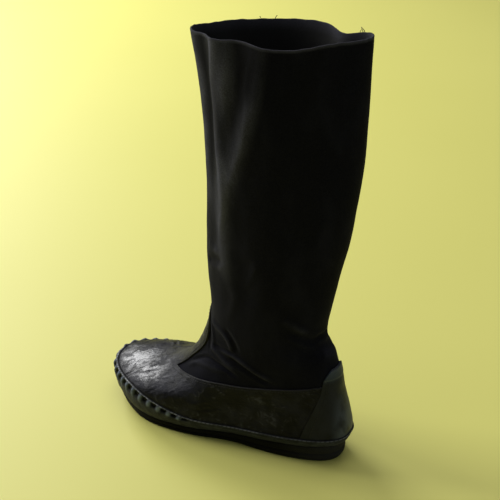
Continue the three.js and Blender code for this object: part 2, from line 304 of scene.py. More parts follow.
ANKLE_CREASES = [  # half width, depth, line
    (2.4, 1.5, [(133, 22.5, 100), (127, 24.7, 96), (120.7, 27.9, 93.5), (112, 31, 89.5), (103, 33, 86),
                (94, 33.4, 81)]),
    (1.8, -1.4, [(161, 17.3, 66.5), (149, 20.5, 75), (134, 25.7, 83.6), (118, 31, 84), (103, 33.5, 80),
                 (95, 33.6, 76)]),
    (2.6, 1.1, [(164, 19.9, 62), (147, 23.8, 72.6), (126.5, 30.9, 78), (109.5, 33.6, 77.3)]),
    (2.6, 1.6, [(124, 25.8, 98), (107, 30.5, 99.3), (90, 32.6, 94), (78, 31.9, 87.6), (69.6, 30.8, 84.3),
                (58, 29, 80)]),
    (1.6, -1, [(126, 25, 101), (118, 28, 100.5), (108, 30.5, 101.5), (98, 31.5, 100)]),
    (2.8, -1.5, [(108, 31, 96), (99, 32, 93), (84, 33, 87), (70, 31.5, 80.5), (58, 29, 76)]),
    (2.6, 1.5, [(131, 18, 126), (126.3, 21.4, 120.6), (115.3, 27, 118.5), (107.7, 29.5, 113.6),
                (104.3, 30.4, 107.6), (103, 30.6, 100)]),
    (3, -1.2, [(112, 28, 124), (104, 30, 118), (99, 31, 110), (97, 31.2, 102)]),
    (2, 1.2, [(133, 16.5, 124), (131.2, 18.2, 118.5), (127.6, 22.7, 105.8), (126.9, 24.7, 96.3),
              (120.7, 27.9, 93.5)]),
    (1.6, -1, [(136, 15.5, 116), (134, 19, 106), (133.5, 21, 97), (132, 23.5, 89)]),
    (4.2, 1.2, [(53, 28.5, 150), (45, 26.3, 145), (37.7, 21.8, 139.5), (31, 16, 133)]),
    (3.6, -1.6, [(48, 27.5, 139), (38, 22.5, 132), (31, 15.5, 127), (27, 8, 125)]),
]
BACK_CREASES = [  # half width, depth, line
    (2.8, -1.8, [(30, 11, 128), (26, 5, 128), (25, -2, 127.5), (27, -9, 128)]),
    (6, 1.2, [(22, 12, 113), (17, 4, 112), (17, -6, 112), (24, -14, 113)]),
    (3, -1, [(22, 13, 121), (19, 5, 120), (19, -3, 120)]),
]
SHIN_CREASES = [  # half width, depth, line
    (4, -1.3, [(131, 17, 185), (126, 21, 187), (120, 24.5, 190), (112, 29, 194), (106, 32, 199)]),
    (4, 0.8, [(128, 19, 203), (123, 22.4, 201.6), (116, 27, 202), (110, 30, 204)]),
    (5, 0.8, [(101, 33, 215), (101, 32.3, 192), (99.3, 31.8, 173), (97, 31.8, 159), (102.7, 30.7, 144),
              (108, 29, 130)]),
    (3.5, 0.7, [(70, 34.3, 204), (76, 34, 190), (83, 33.3, 173)]),
    (8, -0.9, [(84, 33.5, 206), (80, 33.6, 190), (80, 33.4, 172), (78, 33, 156)]),
]
SHAFT_CREASES = [  # half width, depth, line
    (3.4, 1.0, [(103, 32, 450), (104.8, 31.4, 387), (108.6, 27.8, 368), (111.7, 24.5, 354),
                (109.4, 26.2, 330), (108.9, 26.8, 304), (102, 32.5, 281), (100.6, 34.3, 255),
                (104, 33.5, 236), (107, 32, 225), (105, 32.5, 200)]),
    (4.5, -0.8, [(96, 32, 450), (96, 31.5, 388), (99, 31, 365), (101, 30.5, 350), (99.5, 31, 330),
                 (98, 32, 305), (95, 33.5, 290)]),
    (7, 0.5, [(76, 34, 450), (76, 33.5, 388), (80, 33.3, 365), (80, 34, 340), (83, 34.5, 315),
              (87, 35, 300), (93, 34.5, 280)]),
    (3.4, 0.6, [(66, 35, 450), (66.1, 34.8, 388), (71, 34, 370), (73.2, 34.5, 356), (72.5, 36.3, 339),
                (74.3, 36.6, 326), (77, 36.6, 313), (81.2, 36.7, 300), (87.7, 35.2, 285), (94, 34.3, 270),
                (99, 34, 252), (101, 33.5, 240)]),
]
SUEDE_CREASES = ANKLE_CREASES + BACK_CREASES + SHIN_CREASES + SHAFT_CREASES + other_side(ANKLE_CREASES)
print("suede creases:", len(SUEDE_CREASES))

# %% [markdown]
# ## The skin
# `skin` is the finished face that every piece is laid on: the last, its creases, and a slight unevenness of
# slack leather from smooth noise. All pieces share it, so none of them cuts through another.

# %% One skin for all pieces
SLACK_SIZES = [(48, 0.9), (17, 0.22)]  # size, depth
SLACK_START = (60, 160)


def soft_noise(points, size):
    """Smooth noise between about -1 and 1 that changes over size mm along each axis."""
    flat = (points / size).reshape(-1, 3)
    return np.array([noise.noise(Vector(place)) for place in flat]).reshape(points.shape[:-1])


def skin(level, angle):
    """Points and outward directions of the creased face, and how far creases push it out."""
    points, normals = form_point(level, angle), form_normal(level, angle)
    push = crease_push(points, SUEDE_CREASES)
    slack = sum(depth * soft_noise(points, size) for size, depth in SLACK_SIZES)
    out = push + slack * smoothstep(points[..., 2], *SLACK_START)
    return points + normals * out[..., None], normals, push


shin = skin(np.array([9.0]), np.array([1.0]))[0]
print("a point of the skin on the shin:", shin.round(1).tolist())

# %% [markdown]
# ## Meshes from grids
# Each piece is a grid of points whose rows run up the piece and whose columns run round it. Rows that
# return on the inner face close the wall, so a piece is one watertight mesh and has no loose faces. Numbers
# that say where a piece is worn, cut or inside, and where light or shade is painted on it, are kept on its
# points for the materials.

# %% Helpers that make and place a piece
def grid_faces(rows, columns, closed_rows=False, closed_columns=True):
    row, column = np.meshgrid(
        np.arange(rows if closed_rows else rows - 1),
        np.arange(columns if closed_columns else columns - 1), indexing="ij")
    above, beside = (row + 1) % rows, (column + 1) % columns
    corners = [(row, column), (row, beside), (above, beside), (above, column)]
    return np.stack([r * columns + c for r, c in corners], -1).reshape(-1, 4).tolist()


def make_piece(name, points, faces, material, slot, replaced=None, **marks):
    """A shown piece in the frame: its mesh, its marks for the material, its body and solid; slot is not used.
    """
    mesh = bpy.data.meshes.new(name)
    mesh.from_pydata(((points.reshape(-1, 3) + SHIFT) * MM).tolist(), [], faces)
    mesh.validate()
    mesh.shade_smooth()
    for mark, values in marks.items():
        mesh.attributes.new(mark, "FLOAT", "POINT").data.foreach_set("value", np.ravel(values))
    mesh.materials.append(material)
    piece = bpy.data.objects.new(name, mesh)
    bpy.context.scene.collection.objects.link(piece)
    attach(piece, "root")
    if replaced:
        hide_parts(replaced)
    mesh.calc_loop_triangles()
    print(name, "triangles:", len(mesh.loop_triangles))
    return piece


print("faces of a closed band of 3 rows and 4 columns:", len(grid_faces(3, 4)))

# %% [markdown]
# ## Shader sums
# A mask is easier to read as arithmetic than as wires. `Signal` wraps a socket, and Python's operators on
# it add Math nodes. `Finish` is one material: its `node` method adds any other node, settings first.

# %% A small language for materials
class Signal:
    """A shader value that takes part in Python sums."""

    def __init__(self, finish, socket):
        self.finish, self.socket = finish, socket

    def math(self, operation, first, second):
        return self.finish.node("Math", {"operation": operation}, {0: first, 1: second})

    def __add__(self, other):
        return self.math("ADD", self, other)

    def __mul__(self, other):
        return self.math("MULTIPLY", self, other)

    __radd__ = __add__
    __rmul__ = __mul__

    def between(self, low, high):
        """0 below low, 1 above high, and a smooth step from one to the other."""
        return self.finish.node("MapRange", {"interpolation_type": "SMOOTHSTEP"},
                                {"Value": self, "From Min": low, "From Max": high})


class Finish:
    """One procedural material, with its shader's constant values set on the shader's own sockets."""

    def __init__(self, name, constants):
        self.material = bpy.data.materials.new(name)
        self.material.use_nodes = True
        self.tree = self.material.node_tree
        self.shader = self.tree.nodes["Principled BSDF"]
        self.set_inputs(self.shader, constants)
        self.place = self.node("TexCoord", output="Object")

    def set_inputs(self, node, values):
        for key, value in values.items():
            if isinstance(value, Signal):
                self.tree.links.new(value.socket, node.inputs[key])
            else:
                node.inputs[key].default_value = value

    def node(self, kind, settings=None, inputs=None, output=0):
        """Any node: its type, its settings, the values or links of its sockets, and the output to use."""
        made = self.tree.nodes.new("ShaderNode" + kind)
        for key, value in (settings or {}).items():
            setattr(made, key, value)
        self.set_inputs(made, inputs or {})
        return Signal(self, made.outputs[output])

    def mark(self, name):
        """A number kept on the mesh's points."""
        return self.node("Attribute", {"attribute_name": name}, output="Fac")

    def stretched(self, scale):
        return self.node("VectorMath", {"operation": "MULTIPLY"}, {0: self.place, 1: scale})

    def noise(self, size, detail=2.0, roughness=0.5, place=None, distortion=0.0):
        """Noise whose blotches are about size metres across."""
        return self.node("TexNoise", {}, {"Vector": place or self.place, "Scale": 1 / size, "Detail": detail,
                                          "Roughness": roughness, "Distortion": distortion})

    def mix(self, share, first, second):
        """A colour between two colours."""
        return self.node("Mix", {"data_type": "RGBA"}, {0: share, 6: first, 7: second}, output=2)

    def bump(self, height, depth):
        """A Bump node for relief of depth metres."""
        return self.node("Bump", {}, {"Height": height, "Distance": depth, "Strength": 1.0})

    def second_coat(self, share, constants, **sockets):
        """A second shader that shows where share is 1."""
        other = self.node("BsdfPrincipled", {}, {**constants, **self.spelled(sockets)})
        first = Signal(self, self.shader.outputs[0])
        both = self.node("MixShader", {}, {0: share, 1: first, 2: other})
        self.tree.links.new(both.socket, self.tree.nodes["Material Output"].inputs["Surface"])

    def spelled(self, sockets):
        return {key.replace("_", " ").title(): value for key, value in sockets.items()}

    def paint(self, **sockets):
        """Feeds what varies over the surface to the shader."""
        self.set_inputs(self.shader, self.spelled(sockets))
        return self.material


print("steps of a finish:", [name for name in vars(Finish) if not name.startswith("_")])

# %% [markdown]
# Almost everything on this boot is black, and a pale yellow floor throws its colour back at it. Greys are
# one number with a little warmth, and the suede's blacks get some blue, so that they look neutral here.

# %% Greys and blacks
def grey(value, warm=0.0):
    return (value * (1 + warm), value, value * (1 - warm), 1)


def cool(value):
    """A black with some blue in it, which keeps its look over a warm floor."""
    return (value * 0.98, value, value * 1.75, 1)


print("a black of 0.01:", [round(part, 4) for part in cool(0.01)])

# %% [markdown]
# ## Suede
# Suede is leather with its fibres raised. The nap scatters light, so it has no highlight, it looks paler at
# a grazing angle and it is rubbed grey along the cut rim. The crests of its folds are painted paler, partly
# as rubbed nap and partly as a painted highlight where light catches them. Sheen gives the grazing light,
# two noises give the nap and its brushed patches, and the marks on the mesh say where it is rubbed and
# painted lit, where light and shade are painted, where it is cut and where it is on the inside.

# %% Finish of the suede
# Colours of the rubbed fold crests, which also stand for light caught there: a painted highlight.
RUB_AND_LIGHT_DARK, RUB_AND_LIGHT_PALE = (0.043, 0.044, 0.063, 1), (0.09, 0.092, 0.13, 1)
CUT_DARK, CUT_PALE = (0.022, 0.022, 0.029, 1), (0.064, 0.064, 0.08, 1)


def suede_finish():
    suede = Finish("black suede", {"Specular IOR Level": 0.06, "Sheen Weight": 0.045, "Sheen Roughness": 0.4,
                                   "Sheen Tint": (0.75, 0.76, 0.8, 1)})
    nap = suede.noise(0.0009, detail=4, roughness=0.7)
    brushed = suede.noise(0.02, detail=3, place=suede.stretched((1, 1, 0.45)))
    brushing = 0.55 + brushed.between(0.25, 0.6) * 0.45
    # Fold crests painted paler, as rubbed nap and as painted highlight, with the patches of painted light and
    # shade.
    rubbed = (suede.mark("rub") * brushing + suede.mark("rim") * 0.25).between(0, 1)
    black = suede.mix(nap.between(0.3, 0.75), cool(0.0026), cool(0.0072))
    patchy = suede.mix(brushed.between(0.4, 0.75) * 0.5, black, cool(0.011))
    worn_and_lit = suede.mix(rubbed, patchy, suede.mix(nap.between(0.3, 0.7), RUB_AND_LIGHT_DARK, RUB_AND_LIGHT_PALE))
    lined = suede.mix(suede.mark("inside"), worn_and_lit, suede.mix(nap, grey(0.016), grey(0.036)))
    cut = suede.mix(suede.mark("rim"), lined, suede.mix(nap, CUT_DARK, CUT_PALE))
    height = nap * 0.7 + brushed * 0.3
    return suede.paint(base_color=cut, roughness=0.8 + nap * 0.2, normal=suede.bump(height, 0.0004))


SUEDE = suede_finish()
print("finish:", SUEDE.name)

# %% [markdown]
# Light and shade are painted on the nap in patches. The panel between the shaft's long ridges, its front
# and the crest of the first ridge are painted pale as lit, and the low front is painted dark as shade. Each
# patch is a soft line on the shaft that fades out downwards. The lamps alone leave the panel too dark, so
# its light is painted.

# %% Brushed patches of the nap
LIGHT_AND_SHADE_PATCHES = [  # half width, how much paler, line on the shaft
    (10, 0.55, [(84, 32, 400), (84.2, 32.2, 376), (86.7, 32.7, 360), (88, 33, 335), (90, 33.7, 310),
                (94, 34, 284), (99, 34.3, 255), (102, 34, 232)]),
    (12, 0.75, [(127, 17, 400), (126, 17.4, 372), (123, 18.5, 350), (122.5, 18.3, 325), (124, 17.6, 298),
                (123.4, 18.6, 272), (123, 20, 230), (123, 21, 200)]),
    (4.5, 0.5, [(104.8, 31.4, 400), (108.6, 27.8, 368), (111.7, 24.5, 354), (109.4, 26.2, 330),
                (108.9, 26.8, 304), (102, 32.5, 281), (100.6, 34.3, 255), (104, 33.5, 236), (107, 32, 215)]),
    (9, -0.9, [(131, 17, 184), (124, 22, 178), (121, 24, 165), (120, 24, 150), (119, 25, 138)]),
]
LIGHT_PATCH_FADE = (0.5, 1)


def light_and_shade_at(points):
    """Painted light (paler) and painted shade (darker) on the nap, summed over the patches."""
    flat = points.reshape(-1, 3)
    shade = np.zeros(len(flat))
    for width, strength, line in LIGHT_AND_SHADE_PATCHES:
        away, along = distance_to_line(flat, crease_line(line))
        shade += strength * np.exp(-(away / width) ** 2) * (1 - smoothstep(along, *LIGHT_PATCH_FADE))
    return shade.reshape(points.shape[:-1])


# Patches of painted light and painted shade on the shaft.
print("brushed patches:", len(LIGHT_AND_SHADE_PATCHES))

# %% [markdown]
# ## The shaft
# The upper is one wall from the sole to the collar: an outer face, a cut rim and an inner face. Its rows lie
# close together round the ankle, where the creases are, and further apart where leather covers it. The raw
# rim wavers a little, as a hand-cut edge does.

# %% Upper
UPPER_COLUMNS = 288
UPPER_ROWS = [(0, 2.4, 10), (2.5, 9, 112), (9.06, COLLAR, 86)]  # from level, to level, rows
INNER_ROWS = 66
RIM_ROUND = [(-0.15, 0.3), (-0.8, 0.45), (-1.45, 0.3)]  # offset, rise
RIM_WAVER = 0.5
RIM_BAND = 0.7
RIM_REACH, RIM_WAVES = 0.25, 9
RUB_AND_LIGHT_SHARE, RUB_AND_LIGHT_DEPTH = 0.6, 3


def around(columns):
    return np.linspace(0, 2 * np.pi, columns, endpoint=False)


def make_upper():
    angle = around(UPPER_COLUMNS)
    outer = np.concatenate([np.linspace(*part) for part in UPPER_ROWS])
    inner = np.linspace(COLLAR, 0, INNER_ROWS)
    levels = np.concatenate([outer, np.full(len(RIM_ROUND), COLLAR), inner])
    rim_offset, rim_lift = zip(*RIM_ROUND)
    offset = np.concatenate([np.zeros(len(outer)), rim_offset, np.full(len(inner), -UPPER_WALL)])
    lift = np.concatenate([np.zeros(len(outer)), rim_lift, np.zeros(len(inner))])
    points, normals, push = skin(levels[:, None], angle[None, :])
    points += normals * offset[:, None, None]
    near_rim = smoothstep(levels, COLLAR - RIM_REACH, COLLAR)
    ring = np.stack([RIM_WAVES * np.cos(angle), RIM_WAVES * np.sin(angle), 0 * angle], -1)
    waver = soft_noise(ring, 1.0)
    points[..., 2] += lift[:, None] + near_rim[:, None] * waver * RIM_WAVER
    fall = points[:len(outer), :, 2].max(0) - points[:len(outer), :, 2]
    rim = np.zeros(points.shape[:2])
    rim[:len(outer)] = 1 - smoothstep(fall, 0, RIM_BAND)
    rim[len(outer):len(outer) + len(RIM_ROUND) + 1] = 1
    inside = np.zeros(points.shape[:2])
    inside[len(outer) + len(RIM_ROUND):] = 1
    folds, _ = fold_at(np.broadcast_to(angle, points.shape[:2]), points[..., 2])
    # Crests of creases and folds are painted paler, as rubbed nap and as painted highlight; the patches add
    # painted light and shade.
    rub = np.clip((RUB_AND_LIGHT_SHARE * push + RUB_AND_LIGHT_SHARE * folds) / RUB_AND_LIGHT_DEPTH + light_and_shade_at(points), 0, 1) * (1 - inside)
    faces = grid_faces(len(levels), UPPER_COLUMNS, closed_rows=True)
    return make_piece("upper_suede", points, faces, SUEDE, "suede", "upper", rim=rim, inside=inside, rub=rub)


make_upper()

# %% [markdown]
# ## Glossy leather of the foot
# The vamp is finished leather that is worn to a polish over the toes and is dull and scuffed on its sides.
# Its creases and larger crinkles are geometry, and wrinkles finer than the mesh are bump. One shader could
# vary its roughness alone, but a dull leather keeps its relief where a polished one is smoothed. So two
# shaders, dull and polished, are mixed by the polish kept on the mesh.

# %% Finish of the vamp
def vamp_finish():
    leather = Finish("glossy black leather", {"Specular IOR Level": 0.1})
    fine = leather.noise(0.0012, detail=5, roughness=0.65, distortion=0.4)
    lines = leather.noise(0.004, detail=3, place=leather.stretched((0.6, 1.6, 1)), distortion=0.6)
    veins = leather.noise(0.011, detail=4, roughness=0.55, distortion=0.8)
    blotch = leather.noise(0.016, detail=3)
    tone = leather.mix(blotch.between(0.35, 0.7), (0.0025, 0.0026, 0.005, 1), (0.011, 0.0114, 0.0185, 1))
    scuffed = leather.mix(veins.between(0.52, 0.68) * lines.between(0.4, 0.65), tone, (0.03, 0.031, 0.042, 1))
    edge = leather.mix(leather.mark("edge"), scuffed, leather.mix(fine, grey(0.015), grey(0.04)))
    normal = leather.bump(veins * 0.55 + lines * 0.3 + fine * 0.15, 0.0018)
    smooth = leather.bump(lines * 0.6 + fine * 0.4, 0.0004)
    polish = leather.mark("polish") * (0.4 + veins.between(0.35, 0.6) * 0.8)
    shine = 0.15 + blotch * 0.1 + lines * 0.05
    leather.second_coat(polish.between(0.05, 0.85), {"Specular IOR Level": 0.5},
                        base_color=edge, normal=smooth, roughness=shine)
    return leather.paint(base_color=edge, roughness=0.4 + blotch * 0.2, normal=normal)


VAMP_LEATHER = vamp_finish()
print("finish:", VAMP_LEATHER.name)

# %% [markdown]
# ## Where the leather is cut
# Seen from the side, the vamp's lap edge falls gently from the counter to a notch beside the instep; from
# the front, a pointed tongue rises out of the notch. The counter narrows upwards. The cut is found on the
# surface: along each column the leather ends where it first leaves the pattern, and a smaller pattern gives
# the line for the stitches.

# %% Patterns of vamp and counter
COVER_START = 2.155
# Points of the patterns: distance from the heel or half width, and height
LAP_EDGE = [(21, 82), (56, 75), (85, 70), (115, 67), (145, 62), (164, 58), (180.5, 55.5)]
BEYOND_NOTCH = [(182, 75), (187, 140), (400, 400)]
TONGUE = [(22, 46), (17.5, 55), (15.5, 62), (15.3, 72), (17, 83), (18.3, 94), (18, 103), (15.5, 114),
          (11, 124), (0, 133)]
TONGUE_FROM, OUTSIDE = 110, -1000
TONGUE_FLARE, FLARE_LEVELS, FLARE_SHARES = 0.6, (4.6, 7), (0.25, 0.5)
COUNTER_EDGE = [(40, 18), (32, 42), (26, 58), (21, 75), (19, 88), (15, 97)]
COUNTER_TOP = [(-20, 103), (15, 97)]


def curve(pairs, value, across=0):
    """Second (or first) number of a pattern's points at a value of the other one."""
    points = np.array(pairs, float)
    smooth = row_at(points, np.linspace(0, len(points) - 1, 12 * len(points)))
    order = np.argsort(smooth[:, across])
    return np.interp(value, smooth[order, across], smooth[order, 1 - across])


def inside_vamp(points):
    """How far inside the vamp's pattern a point lies, in mm."""
    x, y, z = np.moveaxis(points, -1, 0)
    lap = np.where(x < LAP_EDGE[-1][0], curve(LAP_EDGE, x), np.interp(x, *zip(LAP_EDGE[-1], *BEYOND_NOTCH)))
    tongue = np.where(x > TONGUE_FROM, curve(TONGUE, z, across=1) - np.abs(y), OUTSIDE)
    return np.maximum(lap - z, tongue)


def inside_counter(points):
    return np.interp(points[..., 0], *zip(*COUNTER_TOP)) - points[..., 2]


print("the lap edge 100 mm from the heel is", curve(LAP_EDGE, 100).round(1), "mm high")

# %% [markdown]
# A piece's columns run up from the seam, between the counter's front edge on one side and on the other.
# Each column is followed up the last until it leaves the pattern, which gives its cut level.

# %% Where the columns are cut
REAR_LEVELS = np.linspace(COVER_START, 7, 120)
REAR_TURN = np.radians(np.linspace(100, 180, 400))


def rear_angle(side, shift=0.0):
    """Angle at which the counter's front edge crosses each of REAR_LEVELS, on one side."""
    turn = side * REAR_TURN
    points = form_point(REAR_LEVELS[:, None], turn[None, :])
    ahead = points[..., 0] - curve(COUNTER_EDGE, points[..., 2], across=1) - shift
    last = np.clip((ahead > 0).sum(1), 1, len(turn) - 1)
    rows = np.arange(len(REAR_LEVELS))
    before, after = ahead[rows, last - 1], ahead[rows, last]
    share = np.clip(before / (before - after + 1e-9), 0, 1)
    return np.abs(lerp(turn[last - 1], turn[last], share))


REAR = {(side, part): rear_angle(side, GAP if part == "vamp" else 0)
        for side in (1, -1) for part in ("vamp", "counter")}


def vamp_angle(share, level):
    """share runs from -1 at the inner rear edge, over 0 at the toe, to 1 at the outer rear edge."""
    outer, inner = (np.interp(level, REAR_LEVELS, REAR[side, "vamp"]) for side in (1, -1))
    fan = smoothstep(level, *FLARE_LEVELS) * (1 - smoothstep(np.abs(share), *FLARE_SHARES))
    return share * (1 + TONGUE_FLARE * fan) * np.where(share > 0, outer, inner)


def counter_angle(share, level):
    """share runs from -1 at the outer front edge, over 0 at the back, to 1 at the inner front edge."""
    outer, inner = (np.interp(level, REAR_LEVELS, REAR[side, "counter"]) for side in (1, -1))
    return np.pi + share * (np.pi - np.where(share > 0, inner, outer))


def cut_level(share, angle_of, pattern, inset=0.0, top=8.6, steps=640):
    """Level at which each column first leaves a pattern."""
    levels = np.linspace(COVER_START, top, steps)[:, None]
    depth = pattern(form_point(levels, angle_of(share[None, :], levels))) - inset
    last = np.clip(np.argmax(depth < 0, axis=0), 1, steps - 1)
    columns = np.arange(len(share))
    before, after = depth[last - 1, columns], depth[last, columns]
    part = before / (before - after)
    return lerp(levels[last - 1, 0], levels[last, 0], np.clip(part, 0, 1))


notch = cut_level(np.array([0.0, 0.15, 0.27, 0.5, 0.9]), vamp_angle, inside_vamp)
print("vamp's cut at five places, as levels:", notch.round(2).tolist())

# %% [markdown]
# ## Vamp
# The toe's creases run from the seam back and up towards the instep. The leather is worn to a polish in a
# few spots over the toes, a little on top, and hardly on the sides.

# %% Creases and polish of the vamp
TOE_CREASES = [  # half width, depth, line
    (1.2, -1.6, [(236, 36, 33), (227.6, 33.1, 38), (219.4, 27, 42.3), (210.6, 20.2, 45.6),
                 (202.3, 12.6, 48.8), (197, 6, 50.5)]),
    (1.3, -0.55, [(199, 49.5, 33), (192.6, 47.8, 37), (183, 43.7, 43.6), (174.6, 36.7, 49), (169, 31, 53)]),
    (1.5, -0.4, [(186, 50, 33), (172, 47.5, 41), (160, 44, 48), (152, 40, 54)]),
    (2.2, -0.4, [(205, 22, 44), (199, 8, 50), (197, -8, 50.5), (199, -24, 46)]),
    (2.4, 0.5, [(214, 30, 39), (205, 24, 45), (192, 18, 50), (184, 14, 54)]),
    (1.5, -0.25, [(243, 22, 36), (235, 14, 41), (226, 2, 45)]),
    (1.6, -0.9, [(226, -40, 32), (214, -33, 40), (204, -20, 46.5)]),
    (1.6, -0.8, [(204, -46, 32), (193, -44, 38), (182, -38, 45), (173, -30, 51)]),
    (2, 0.6, [(150, 47, 37), (138, 45, 42), (124, 42.5, 47), (108, 39.5, 51)]),
    (1.8, -0.6, [(140, 46, 34), (126, 43, 38), (112, 40, 43), (96, 36.5, 46)]),
    (2, -0.5, [(92, 35.5, 58), (76, 33, 62), (60, 31, 63), (46, 29, 60)]),
    (2.2, 0.5, [(84, 34.5, 49), (68, 32, 53), (52, 30, 55), (42, 28.5, 52)]),
]
POLISH_LOW, POLISH_TOP = 0.12, 0.16
TOP_FACING = (0.8, 0.97)
POLISH_SPOTS = [  # place, radius, strength
    ((231, 9, 43.5), 12, 0.9),
    ((204, 29.5, 45), 9, 0.8),
    ((190, 21, 50.5), 4, 0.3),
]


def polish_at(points, normals):
    """How shiny the vamp is: polished over the toes, a little on top, dull on the sides."""
    polish = POLISH_LOW + POLISH_TOP * smoothstep(normals[..., 2], *TOP_FACING)
    for place, radius, strength in POLISH_SPOTS:
        away = np.linalg.norm(points - np.array(place), axis=-1)
        polish = polish + strength * np.exp(-(away / radius) ** 2)
    return np.clip(polish, 0, 1)


print("toe creases:", len(TOE_CREASES), "polished spots:", len(POLISH_SPOTS))

# %% [markdown]
# Vamp and counter are cut the same way, so they share their grid. The columns are spread by the length of
# the cut edge, so that the tongue's steep sides stay clean, and the rows lie close together at the edge,
# which is skived thin and shows its pale core.

# %% Grids of cut leather
EDGE_ROUND = np.array([1.6, 1.1, 0.75, 0.45, 0.2, 0.0])
EDGE_RADIUS, EDGE_SKIVE, EDGE_PALE = 0.75, 0.94, 0.9
INNER_SHARE, EDGE_SHARE = 0.25, 0.3


def even_columns(angle_of, pattern, columns):
    """Column shares spread evenly over the mean length of the cut edge and the lower edge."""
    fine = np.linspace(-1, 1, 2400)
    lengths = []
    for levels in (cut_level(fine, angle_of, pattern), np.full(len(fine), COVER_START)):
        edge = form_point(levels, angle_of(fine, levels))
        step = np.linalg.norm(np.diff(edge, axis=0), axis=1)
        lengths.append(np.concatenate([[0], np.cumsum(step) / step.sum()]))
    return np.interp(np.linspace(0, 1, columns), np.mean(lengths, axis=0), fine)


def cover_grid(angle_of, pattern, columns, rows):
    """Levels and angles of a cut piece's grid, with rows close together at its upper edge, and how far
    each point is from that edge along its column."""
    share = even_columns(angle_of, pattern, columns)
    top = cut_level(share, angle_of, pattern)
    base = form_point(COVER_START, angle_of(share, np.full(columns, COVER_START)))
    height = np.linalg.norm(form_point(top, angle_of(share, top)) - base, axis=1)
    body = np.linspace(0, 1, rows - len(EDGE_ROUND), endpoint=False)[:, None]
    climb = np.vstack([body * (1 - EDGE_ROUND[0] / height), 1 - EDGE_ROUND[:, None] / height])
    levels = lerp(COVER_START, top, climb)
    return levels, angle_of(share[None, :], levels), (1 - climb) * height


def edge_thinning(away):
    """Share of the leather's thickness left at a distance from its cut edge."""
    inward = np.clip(1 - away / EDGE_RADIUS, 0, 1)
    return np.sqrt(1 - EDGE_SKIVE * inward ** 2)


def closed_shell(outer, inner):
    """Points and faces of a piece with an outer and an inner face on the same grid, closed all round."""
    rows, columns = outer.shape[:2]
    points = np.concatenate([outer, inner[::-1]])
    faces = grid_faces(2 * rows, columns, closed_rows=True, closed_columns=False)
    for row in range(rows - 1):
        face = [row, row + 1, 2 * rows - 2 - row, 2 * rows - 1 - row]
        faces.append([index * columns for index in face])
        faces.append([index * columns + columns - 1 for index in reversed(face)])
    return points, faces


def both_faces(values):
    return np.concatenate([values, values[::-1]])


def cover_shell(points, normals, away, relief):
    """A cut piece laid on the skin, with its relief, its faces and the mark of its pale edge."""
    thick = COVER_GAP * EDGE_SHARE + (COVER_GAP * (1 - EDGE_SHARE) + LEATHER) * edge_thinning(away)
    outer = points + normals * (thick + relief)[..., None]
    shell, faces = closed_shell(outer, points + normals * COVER_GAP * INNER_SHARE)
    return shell, faces, both_faces(np.exp(-(away / EDGE_PALE) ** 2))


shares = even_columns(vamp_angle, inside_vamp, 5)
print("five even columns of the vamp:", shares.round(2).tolist())

# %% [markdown]
# The vamp itself is that grid with its creases and a crinkle of ridged noise drawn out along them. Both
# fade at the cut edge.

# %% Vamp
VAMP_COLUMNS, VAMP_ROWS = 520, 58
CRINKLE_SIZES = (24, 9, 10)
CRINKLE_TURN = math.radians(36)
CRINKLE_DEPTH, CRINKLE_FADE = 0.32, (1, 7)
RELIEF_FADE = (0, 3)


def crinkle(points):
    """Ridged noise drawn out along the toe's creases, between 0 and 1."""
    x, y, z = np.moveaxis(points, -1, 0)
    along = x * math.cos(CRINKLE_TURN) + y * math.sin(CRINKLE_TURN)
    aside = y * math.cos(CRINKLE_TURN) - x * math.sin(CRINKLE_TURN)
    place = np.stack([along, aside, z], -1) / np.array(CRINKLE_SIZES)
    return (1 - np.abs(soft_noise(place, 1.0)) * 2.4) * 0.7 + soft_noise(place, 0.41) * 0.3


def make_vamp():
    levels, angles, away = cover_grid(vamp_angle, inside_vamp, VAMP_COLUMNS, VAMP_ROWS)
    points, normals, _ = skin(levels, angles)
    crinkled = CRINKLE_DEPTH * crinkle(points) * smoothstep(away, *CRINKLE_FADE)
    relief = crease_push(points, TOE_CREASES) + crinkled
    shell, faces, edge = cover_shell(points, normals, away, relief * smoothstep(away, *RELIEF_FADE))
    polish = both_faces(polish_at(points, normals))
    return make_piece("vamp_leather_cover", shell, faces, VAMP_LEATHER, "vamp_leather", "vamp",
                      edge=edge, polish=polish)


make_vamp()

# %% [markdown]
# ## Counter
# The counter is a smoother leather that wraps the heel. A folded binding along its top is paler and a
# little bluish, with a light line at its edge and its fold, and a cool sheen is painted paler and bluish on
# the rear as a painted reflection. It is the same kind of grid as the vamp, laid round the back.

# %% Counter and its finish
COUNTER_COLUMNS, COUNTER_ROWS = 150, 76
BINDING, BINDING_RISE, BINDING_STEP = 9, 0.55, (-0.8, 0.2)
GROOVE_PLACE, GROOVE_HALF, GROOVE_DEPTH = 0.6, 0.5, 0.3
DIMPLE_SIZE, DIMPLE_DEPTH = 11, 0.25
REAR_SHEEN = (2, 13)
PALE_FADE, PALE_SHARE = (4, 13), 0.7
PALE_LINES, LINE_HALF, LINE_SHARE = (1.7, 8.6), 0.8, 0.4


def counter_finish():
    leather = Finish("smooth black leather", {"Specular IOR Level": 0.12, "Coat Roughness": 0.3})
    fine = leather.noise(0.0014, detail=4, roughness=0.6)
    blotch = leather.noise(0.012, detail=3, place=leather.stretched((1, 1, 0.5)))
    tone = leather.mix(blotch.between(0.3, 0.7), (0.005, 0.006, 0.011, 1), (0.0095, 0.0115, 0.02, 1))
    # Painted sheen: the rear is painted paler and bluish, as a cool reflection.
    rear = leather.mix(leather.mark("rear") * blotch.between(0.25, 0.6), tone, (0.055, 0.066, 0.09, 1))
    bound = leather.mix(leather.mark("binding"), rear, (0.045, 0.06, 0.09, 1))
    edge = leather.mix(leather.mark("edge"), bound, (0.04, 0.045, 0.055, 1))
    return leather.paint(base_color=edge, roughness=0.36 + blotch * 0.16, coat_weight=0.12 * blotch,
                         normal=leather.bump(fine, 0.00025))


